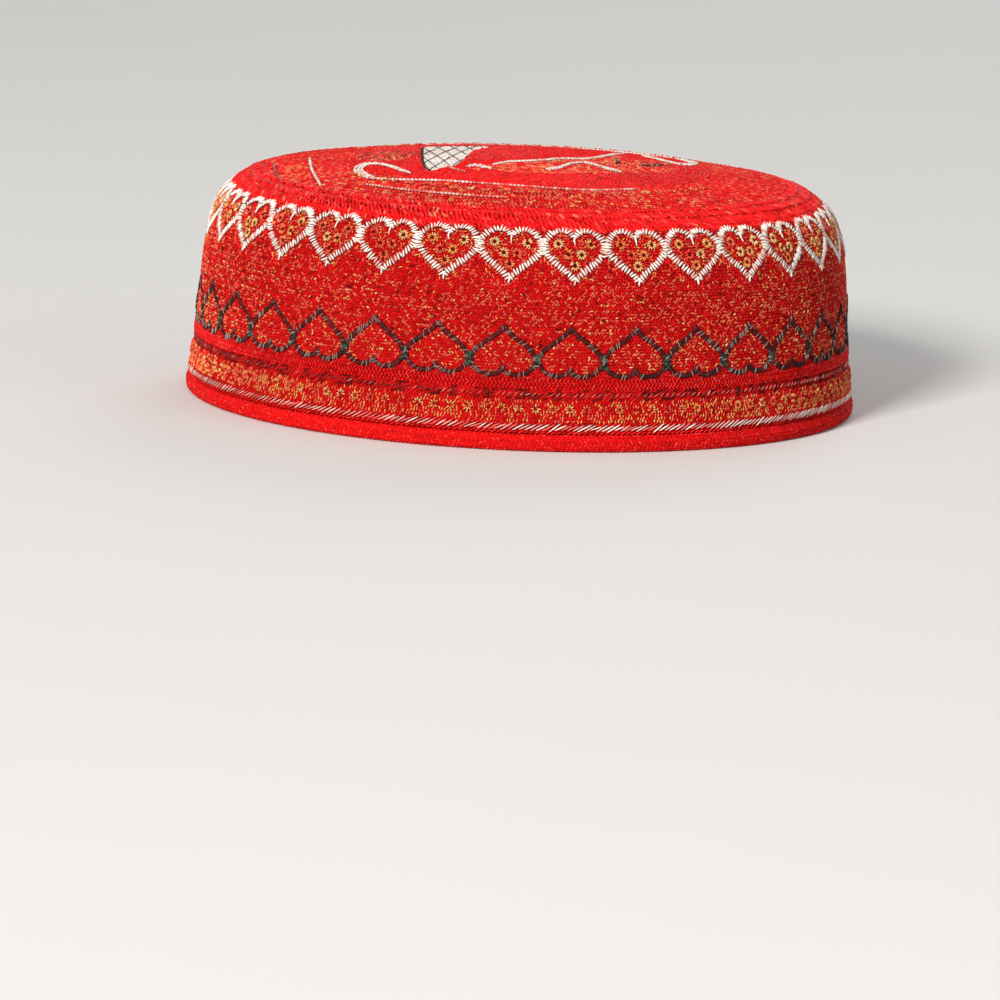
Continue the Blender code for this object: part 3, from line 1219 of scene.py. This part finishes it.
MM = 0.001
CROWN_LINES = (
    {"thread": "white", "wide": 1.9, "points": (
        (-33.5, -34), (-36, -29), (-40, -20), (-43.5, -15.5))},
    {"thread": "white", "wide": 3.0, "points": (
        (-42.2, -17), (-44.5, -15.5), (-46.7, -17), (-48.3, -25), (-46.7, -34), (-43.2, -41.5))},
    {"thread": "white", "wide": 1.2, "points": (
        (-43.2, -41.5), (-36, -44.2), (-30, -45.2), (-23, -46.6), (-16, -49))},
    {"thread": "pink", "wide": 1.2, "points": (
        (-16, -49), (-8, -50.6), (0, -52), (11, -53), (20, -51.5), (30, -46))},
    {"thread": "pink", "wide": 1.1, "points": (
        (-45, -49.5), (-36, -56.3), (-26, -61.5), (-15, -65), (-6, -66.5))},
    {"thread": "blush", "wide": 1.3, "single": True, "points": (
        (-63.5, 6), (-62.5, -10), (-61, -26), (-58, -46))},
    {"thread": "white", "wide": 1.7, "single": True, "points": (
        (-10, -17), (-6, -10.5), (0, -7), (5, -3), (9, 3), (15, 6), (19, 12), (23, 22), (28, 36))},
    {"thread": "white", "wide": 1.6, "single": True, "points": (
        (6.8, -21.5), (9, -17), (11, -11), (13, -6), (16.4, -3.5), (20, -9), (25, -17))},
    {"thread": "white", "wide": 2.8, "single": True, "points": (
        (5.8, -22.5), (7.4, -20), (9.2, -17.5))},
    {"thread": "white", "wide": 2.6, "single": True, "points": (
        (21.5, -11.5), (24, -15), (26, -18.5))},
    {"thread": "white", "wide": 2.6, "single": True, "points": (
        (-17, -22), (-15, -19), (-12.8, -22), (-11, -24.5))},
    {"thread": "pink", "wide": 0.9, "single": True, "points": ((-24, -20), (-21.6, -26), (-18, -32))},
    {"thread": "brown", "wide": 1.2, "single": True, "points": (
        (-73.5, 0), (-72, -20), (-69.5, -35))},
    {"thread": "dark", "wide": 1.2, "single": True, "points": ((25, 16), (26, 8), (25.5, 0))},
    {"thread": "dark", "wide": 1.4, "single": True, "points": ((33, 0), (35, 1), (39, 6))},
)
CROWN_LEAF = (
    (-28, -31), (-23.2, -23), (-20.7, -19), (-19, -8), (-17.8, 5), (-15.8, 22), (-12.5, 34),
    (-22, 33), (-30, 30), (-31.3, 22), (-31, 8), (-30.5, -9), (-29.5, -24),
)
CROWN_FLECKS = (
    (-20, -24), (-12, -20), (-6, -11), (0, -7.5), (5, -3.5), (9, 2.5), (15, 5.5), (19, 11.5),
    (23, 21.5), (30, 24), (40, 14), (43, 0), (41, -9), (33, -16), (25, -21.5), (12, -27),
    (0, -30), (-12, -28),
)
GOLD_PATCHES = (
    {"x": -66.5, "y": -20.0, "wide": 3.6, "long": 18.0, "netted": False},
    {"x": -41.5, "y": 3.0, "wide": 9.0, "long": 12.0, "netted": True},
    {"x": 37.0, "y": 6.0, "wide": 5.0, "long": 7.0, "netted": True},
)
LINE_TINTS = {
    "white": {"white": 0.78, "blush": 0.22},
    "blush": {"white": 0.20, "blush": 0.65, "pink": 0.15},
    "pink": {"blush": 0.55, "pink": 0.45},
    "brown": {"shade": 0.8, "pink": 0.2},
    "dark": {"inky": 0.45, "maroon": 0.25, "grey": 0.30},
}


def smooth_path(points, step):
    """Return a smooth line through some points, given in millimetres, as even points."""
    points = np.array(points, float) * MM
    line = []
    for i in range(len(points) - 1):
        p0, p1, p2, p3 = (points[min(max(j, 0), len(points) - 1)] for j in range(i - 1, i + 3))
        t = np.linspace(0.0, 1.0, 12, endpoint=False)[:, None]
        line.append(0.5 * (2 * p1 + (p2 - p0) * t + (2 * p0 - 5 * p1 + 4 * p2 - p3) * t**2
                           + (3 * p1 - p0 - 3 * p2 + p3) * t**3))
    return even_line(np.concatenate((*line, points[-1:])), step, 0)


def plan_path(line, step):
    """Return X, Y and direction along an ornament line, in metres."""
    points = smooth_path(line, step)
    ahead = np.gradient(points, axis=0)
    return points[:, 0], points[:, 1], np.arctan2(ahead[:, 1], ahead[:, 0])


def on_crown(x, y, direction):
    """Return turn, run and heading of places and directions drawn on the crown's plan."""
    turn = np.arctan2(x, -y)
    return turn, SKIN.at_radius(np.hypot(x, y)), direction - turn


def in_outline(x, y, outline):
    """Return whether each place lies in a closed outline, given in millimetres."""
    return in_loop(smooth_path((*outline, outline[0]), MM), x, y)


def in_leaf(x, y):
    return in_outline(x, y, CROWN_LEAF)


def in_patch(x, y, patches=GOLD_PATCHES):
    """Return whether each place lies in one of some patches."""
    inside = np.zeros(np.shape(x), bool)
    for patch in patches:
        across = (x * 1000 - patch["x"]) / patch["wide"]
        along = (y * 1000 - patch["y"]) / patch["long"]
        inside |= np.hypot(across, along) < 1.0
    return inside


def in_netted_patch(x, y):
    return in_patch(x, y, [patch for patch in GOLD_PATCHES if patch["netted"]])


def twins(line):
    """Return the factors that place a line: once, or twice with half a turn between."""
    return (1,) if line.get("single") else (1, -1)


def line_gap(x, y):
    """Return each place's distance to the edge of the nearest ornament line."""
    gap = np.full(len(x), np.inf)
    for line in CROWN_LINES:
        points = smooth_path(line["points"], MM)
        for twin in twins(line):
            gap = np.minimum(gap, gap_to(points * twin, x, y) - line["wide"] * MM / 2)
    return gap


ROPE_ROWS = 2
ROPE_ROW = 0.0037
RED_DISC = 0.0530         # radius of the crown's plain red middle
CROWN_ROSETTES = 80
ROSETTE_RADIUS = 0.0595   # radius of the ring that the crown's rosettes lie in


def make_crown_rows():
    """Sew the crown's rope rows, its flecked zone and its plain red middle."""
    seam = SKIN.at_radius(CROWN_EDGE)
    stitches = Stitches(51)
    for row in range(ROPE_ROWS):
        lay_groove(stitches, seam + row * ROPE_ROW)
        lay_rope(stitches, seam + (row + 0.5) * ROPE_ROW, wide=ROPE_ROW, lift=0.00005)
    sew("crown_rope_rows", stitches, slot="crown_embroidery")

    middle = SKIN.at_radius(RED_DISC)
    zone = (seam + ROPE_ROWS * ROPE_ROW + 0.0004, middle)
    disc = (middle, SKIN.at_radius(0.0006))
    for name, seed, (low, high), row, pitch, slant, long, wide in (
        ("crown_flecked_rows", 52, zone, 0.00100, 0.00104, 56, 0.0016, 0.00062),
        ("crown_red_rows", 53, disc, 0.00108, 0.00135, 30, 0.0022, 0.00100),
    ):
        stitches = Stitches(seed)
        turn, run, number = stitches.rings(np.arange(low, high, row), pitch)
        radius = SKIN.radius_at(run)
        x, y = radius * np.sin(turn), -radius * np.cos(turn)
        keep = (line_gap(x, y) > 0.0001) & ~in_leaf(x, y)
        turn, run, number, x, y = (axis[keep] for axis in (turn, run, number, x, y))
        count = len(turn)
        if name == "crown_flecked_rows":
            lay_crown_rosettes(stitches)
            tint = zone_tints(stitches, turn)
        else:
            tint = stitches.tints(count, deep=0.16, red=0.76, rose=0.08)
        flecked = stitches.tints(count, deep=0.12, red=0.42, rose=0.10, salmon=0.28, gold=0.08)
        tint = np.where(in_outline(x, y, CROWN_FLECKS) | in_patch(x, y), flecked, tint)
        heading = alternate(number, math.radians(slant)) + stitches.wander(0.12, count)
        long = long * stitches.random.uniform(0.85, 1.15, count)
        stitches.lay(turn, run, heading, tint, long=long, wide=wide, thick=0.00056, lift=0.00006)
        sew(name, stitches, slot="crown_embroidery")


def lay_crown_rosettes(stitches):
    """Lay small rosettes in the front and back arcs of the crown's flecked zone."""
    turn = (np.arange(CROWN_ROSETTES) + 0.5) * TAU / CROWN_ROSETTES
    turn = turn[np.abs(np.cos(turn)) > 0.55]
    run = np.full(len(turn), SKIN.at_radius(ROSETTE_RADIUS))
    tint = stitches.tints(len(turn), rose=0.25, salmon=0.55, cream=0.20)
    lay_rosettes(stitches, turn, run, tint, 0.0009, petals=8)


def zone_tints(stitches, turn):
    """Return tints of the flecked zone, richer in its front and back arcs."""
    count = len(turn)
    rich = stitches.tints(count, deep=0.06, red=0.42, rose=0.16, salmon=0.29, gold=0.07)
    poor = stitches.tints(count, deep=0.08, red=0.56, rose=0.22, salmon=0.14)
    share = np.clip(0.45 + 0.5 * np.cos(2 * turn + 0.3), 0.05, 0.9)
    return np.where(stitches.random.uniform(size=count) < share, rich, poor)


BEAD_PITCH = 0.00115
NET_STEP = 0.0012
NET_SLOPES = (math.radians(79), math.radians(101))
LEAF_REACH = 0.036
LEAF_ROW = 0.00078
LEAF_PITCH = 0.0015


def lay_net(stitches, inside, gap, **shares):
    """Lay a net of slanted thread lines over part of the crown."""
    steps = np.arange(-CROWN_EDGE, CROWN_EDGE, NET_STEP)
    for slope in NET_SLOPES:
        for offset in np.arange(-2 * CROWN_EDGE, 2 * CROWN_EDGE, gap):
            x = offset + steps * math.cos(slope)
            y = steps * math.sin(slope)
            held = inside(x, y)
            turn, run, heading = on_crown(x[held], y[held], slope)
            tint = stitches.tints(len(turn), **shares)
            stitches.lay(
                turn, run, heading, tint, long=0.0015, wide=0.00034, thick=0.0003, lift=0.00050
            )


def make_crown_ornament():
    """Sew the crown's scrolls, its net-filled leaf and its dark lines."""
    pale, dark = Stitches(61), Stitches(62)
    for line in CROWN_LINES:
        sewing = dark if line["thread"] == "dark" else pale
        x, y, direction = plan_path(line["points"], BEAD_PITCH)
        strands = max(1, round(line["wide"]))
        wide = line["wide"] * MM / strands
        # A line narrows at its ends
        ends = np.minimum(np.arange(len(x)), np.arange(len(x))[::-1])
        taper = np.clip((ends + 1) / 3.0, 0.5, 1.0)
        for twin in twins(line):
            way = direction + (0 if twin == 1 else math.pi)
            for strand in range(strands):
                shift = (strand - (strands - 1) / 2) * wide * taper
                side_x, side_y = x - shift * np.sin(direction), y + shift * np.cos(direction)
                turn, run, heading = on_crown(side_x * twin, side_y * twin, way)
                tint = sewing.tints(len(x), **LINE_TINTS[line["thread"]])
                slant = (0.45 if strand % 2 else -0.45) + sewing.wander(0.15, len(x))
                sewing.lay(turn, run, heading + slant, tint, long=BEAD_PITCH * 1.3,
                           wide=wide * taper, thick=0.0007, lift=0.0003)

    # The leaf has two layers, the lower one's stitches between the upper one's
    grid = np.meshgrid(np.arange(-LEAF_REACH, 0.0, LEAF_ROW),
                       np.arange(-LEAF_REACH, LEAF_REACH, LEAF_PITCH))
    spots = np.stack(grid, -1).reshape(-1, 2)
    for shift, lift in ((0.0, 0.0002), (LEAF_ROW / 2, 0.0001)):
        laid = spots + (shift, shift * 2) + pale.random.normal(0.0, 0.00010, spots.shape)
        laid = laid[in_leaf(*laid.T)]
        turn, run, heading = on_crown(*laid.T, math.radians(90))
        heading = heading + pale.wander(0.12, len(laid))
        tint = pale.tints(len(laid), white=0.95, blush=0.05)
        pale.lay(turn, run, heading, tint, long=0.0024, wide=0.00090, thick=0.0005, lift=lift)

    turn, run, heading = on_crown(*plan_path((*CROWN_LEAF[-4:], CROWN_LEAF[0]), 0.0008))
    tint = dark.tints(len(turn), inky=0.6, maroon=0.15, teal=0.25)
    dark.lay(turn, run, heading + 0.5, tint, long=0.0014, wide=0.00046, thick=0.0005, lift=0.00045)
    lay_net(dark, in_leaf, 0.0046, inky=0.80, grey=0.20)
    lay_net(pale, in_netted_patch, 0.0040, shade=0.8, pink=0.2)
    sew("crown_pale_scrolls", pale, "pale_thread", "crown_embroidery")
    sew("crown_dark_lines", dark, "dark_thread", "crown_embroidery")


# The studio

TARGET = Vector((0.0, 0.0, 0.030))
PICTURE = 1000
TARGET_PIXEL = (523.3, 294.1)
SENSOR = 36.0
FLOOR_RADIUS = 6.0
FLOOR_SIDES = 96
WHITE = (1.0, 1.0, 1.0)


def aim_camera(stage):
    """Place the camera, and turn it so that the target lands on its own pixel."""
    data = bpy.data.cameras.new("camera")
    camera = bpy.data.objects.new("camera", data)
    bpy.context.scene.collection.objects.link(camera)
    data.sensor_width = SENSOR
    data.lens = stage.lens
    data.clip_end = 50.0
    back = Vector((0.0, -math.cos(stage.elevation), math.sin(stage.elevation)))
    camera.location = TARGET + back * stage.distance
    right = Vector((1.0, 0.0, 0.0))
    up = back.cross(right)
    level_right = right * math.cos(stage.roll) + up * math.sin(stage.roll)
    level_up = up * math.cos(stage.roll) - right * math.sin(stage.roll)
    straight = Matrix((level_right, level_up, back)).transposed()
    focal = stage.lens / SENSOR * PICTURE
    seen = Vector((TARGET_PIXEL[0] - PICTURE / 2, PICTURE / 2 - TARGET_PIXEL[1], -focal))
    swing = seen.rotation_difference(Vector((0.0, 0.0, -1.0))).to_matrix()
    camera.rotation_euler = (straight @ swing).to_euler()
    bpy.context.scene.camera = camera


def add_light(name, place, size, power, tone=WHITE):
    """Add a square area light that points at the cap."""
    data = bpy.data.lights.new(name, "AREA")
    data.size = size
    data.energy = power
    data.color = tone
    lamp = bpy.data.objects.new(name, data)
    bpy.context.scene.collection.objects.link(lamp)
    lamp.location = place
    lamp.rotation_euler = (TARGET - Vector(place)).to_track_quat("-Z", "Y").to_euler()


def make_stage():
    """Make the floor, the lights and the camera."""
    stage = bpy.context.scene.kufi_stage
    bpy.ops.mesh.primitive_circle_add(
        vertices=FLOOR_SIDES, radius=FLOOR_RADIUS, fill_type="NGON"
    )
    floor = bpy.context.object
    floor.name = "floor"
    floor.data.materials.append(floor_material(stage.floor))
    add_light("key", (-1.60, -3.30, 1.75), size=0.9, power=stage.key, tone=(1.0, 0.98, 0.95))
    add_light("overhead", (0.3, 0.6, 3.2), size=1.6, power=stage.fill * 0.8)
    add_light("fill", (3.0, -1.8, 1.6), size=1.6, power=stage.fill)
    add_light("behind", (1.0, 3.0, 1.8), size=1.6, power=stage.fill * 1.7)
    world = bpy.data.worlds.new("studio")
    world.use_nodes = True
    background = world.node_tree.nodes["Background"].inputs
    background["Color"].default_value = (*WHITE, 1.0)
    background["Strength"].default_value = stage.sky
    bpy.context.scene.world = world
    bpy.context.scene.view_settings.view_transform = "Standard"
    aim_camera(stage)


# Operators


class KUFI_OT_cloths(bpy.types.Operator):
    """Make the cap's cloth walls"""

    bl_idname = "kufi.cloths"
    bl_label = "Cloth walls"

    def execute(self, context):
        make_cloths()
        return {"FINISHED"}


class KUFI_OT_trims(bpy.types.Operator):
    """Make the rolled hem and the welt cord"""

    bl_idname = "kufi.trims"
    bl_label = "Hem and welt"

    def execute(self, context):
        make_trims()
        return {"FINISHED"}


class KUFI_OT_pale_hearts(bpy.types.Operator):
    """Sew the white hearts with their borders and eyelets"""

    bl_idname = "kufi.pale_hearts"
    bl_label = "White hearts"

    def execute(self, context):
        make_pale_hearts()
        return {"FINISHED"}


class KUFI_OT_dark_hearts(bpy.types.Operator):
    """Sew the inverted dark hearts"""

    bl_idname = "kufi.dark_hearts"
    bl_label = "Dark hearts"

    def execute(self, context):
        make_dark_hearts()
        return {"FINISHED"}


class KUFI_OT_field(bpy.types.Operator):
    """Sew the band's filling"""

    bl_idname = "kufi.field"
    bl_label = "Band filling"

    def execute(self, context):
        make_field()
        return {"FINISHED"}


class KUFI_OT_foot_rows(bpy.types.Operator):
    """Sew the rows at the foot of the band"""

    bl_idname = "kufi.foot_rows"
    bl_label = "Foot rows"

    def execute(self, context):
        make_foot_rows()
        return {"FINISHED"}


class KUFI_OT_crown_rows(bpy.types.Operator):
    """Sew the crown's rows"""

    bl_idname = "kufi.crown_rows"
    bl_label = "Crown rows"

    def execute(self, context):
        make_crown_rows()
        return {"FINISHED"}


class KUFI_OT_crown_ornament(bpy.types.Operator):
    """Sew the crown's scrolls and leaf"""

    bl_idname = "kufi.crown_ornament"
    bl_label = "Crown ornament"

    def execute(self, context):
        make_crown_ornament()
        return {"FINISHED"}


class KUFI_OT_stage(bpy.types.Operator):
    """Make the floor, the lights and the camera"""

    bl_idname = "kufi.stage"
    bl_label = "Studio"

    def execute(self, context):
        make_stage()
        return {"FINISHED"}


OPERATORS = (
    KUFI_OT_cloths, KUFI_OT_trims, KUFI_OT_pale_hearts, KUFI_OT_dark_hearts, KUFI_OT_field,
    KUFI_OT_foot_rows, KUFI_OT_crown_rows, KUFI_OT_crown_ornament, KUFI_OT_stage,
)


class KUFI_PT_panel(bpy.types.Panel):
    """The cap's settings and the operators that make it"""

    bl_idname = "KUFI_PT_panel"
    bl_label = "Kufi Cap"
    bl_space_type = "VIEW_3D"
    bl_region_type = "UI"
    bl_category = "Kufi Cap"

    def draw(self, context):
        for owner in ("kufi_pattern", "kufi_threads", "kufi_stage"):
            box = self.layout.box()
            settings = getattr(context.scene, owner)
            for name in settings.bl_rna.properties.keys():
                if name not in ("rna_type", "name"):
                    box.prop(settings, name)
        for operator in OPERATORS:
            self.layout.operator(operator.bl_idname)


GROUPS = {"kufi_threads": KufiThreads, "kufi_pattern": KufiPattern, "kufi_stage": KufiStage}


def register():
    for kind in (*GROUPS.values(), *OPERATORS, KUFI_PT_panel):
        bpy.utils.register_class(kind)
    for name, kind in GROUPS.items():
        setattr(bpy.types.Scene, name, PointerProperty(type=kind))


def unregister():
    for name in GROUPS:
        delattr(bpy.types.Scene, name)
    for kind in (KUFI_PT_panel, *reversed(OPERATORS), *reversed(GROUPS.values())):
        bpy.utils.unregister_class(kind)


def main():
    register()
    bpy.ops.kufi.cloths()
    bpy.ops.kufi.trims()
    bpy.ops.kufi.pale_hearts()
    bpy.ops.kufi.dark_hearts()
    bpy.ops.kufi.field()
    bpy.ops.kufi.foot_rows()
    bpy.ops.kufi.crown_rows()
    bpy.ops.kufi.crown_ornament()
    bpy.ops.kufi.stage()


if __name__ == "__main__":
    main()
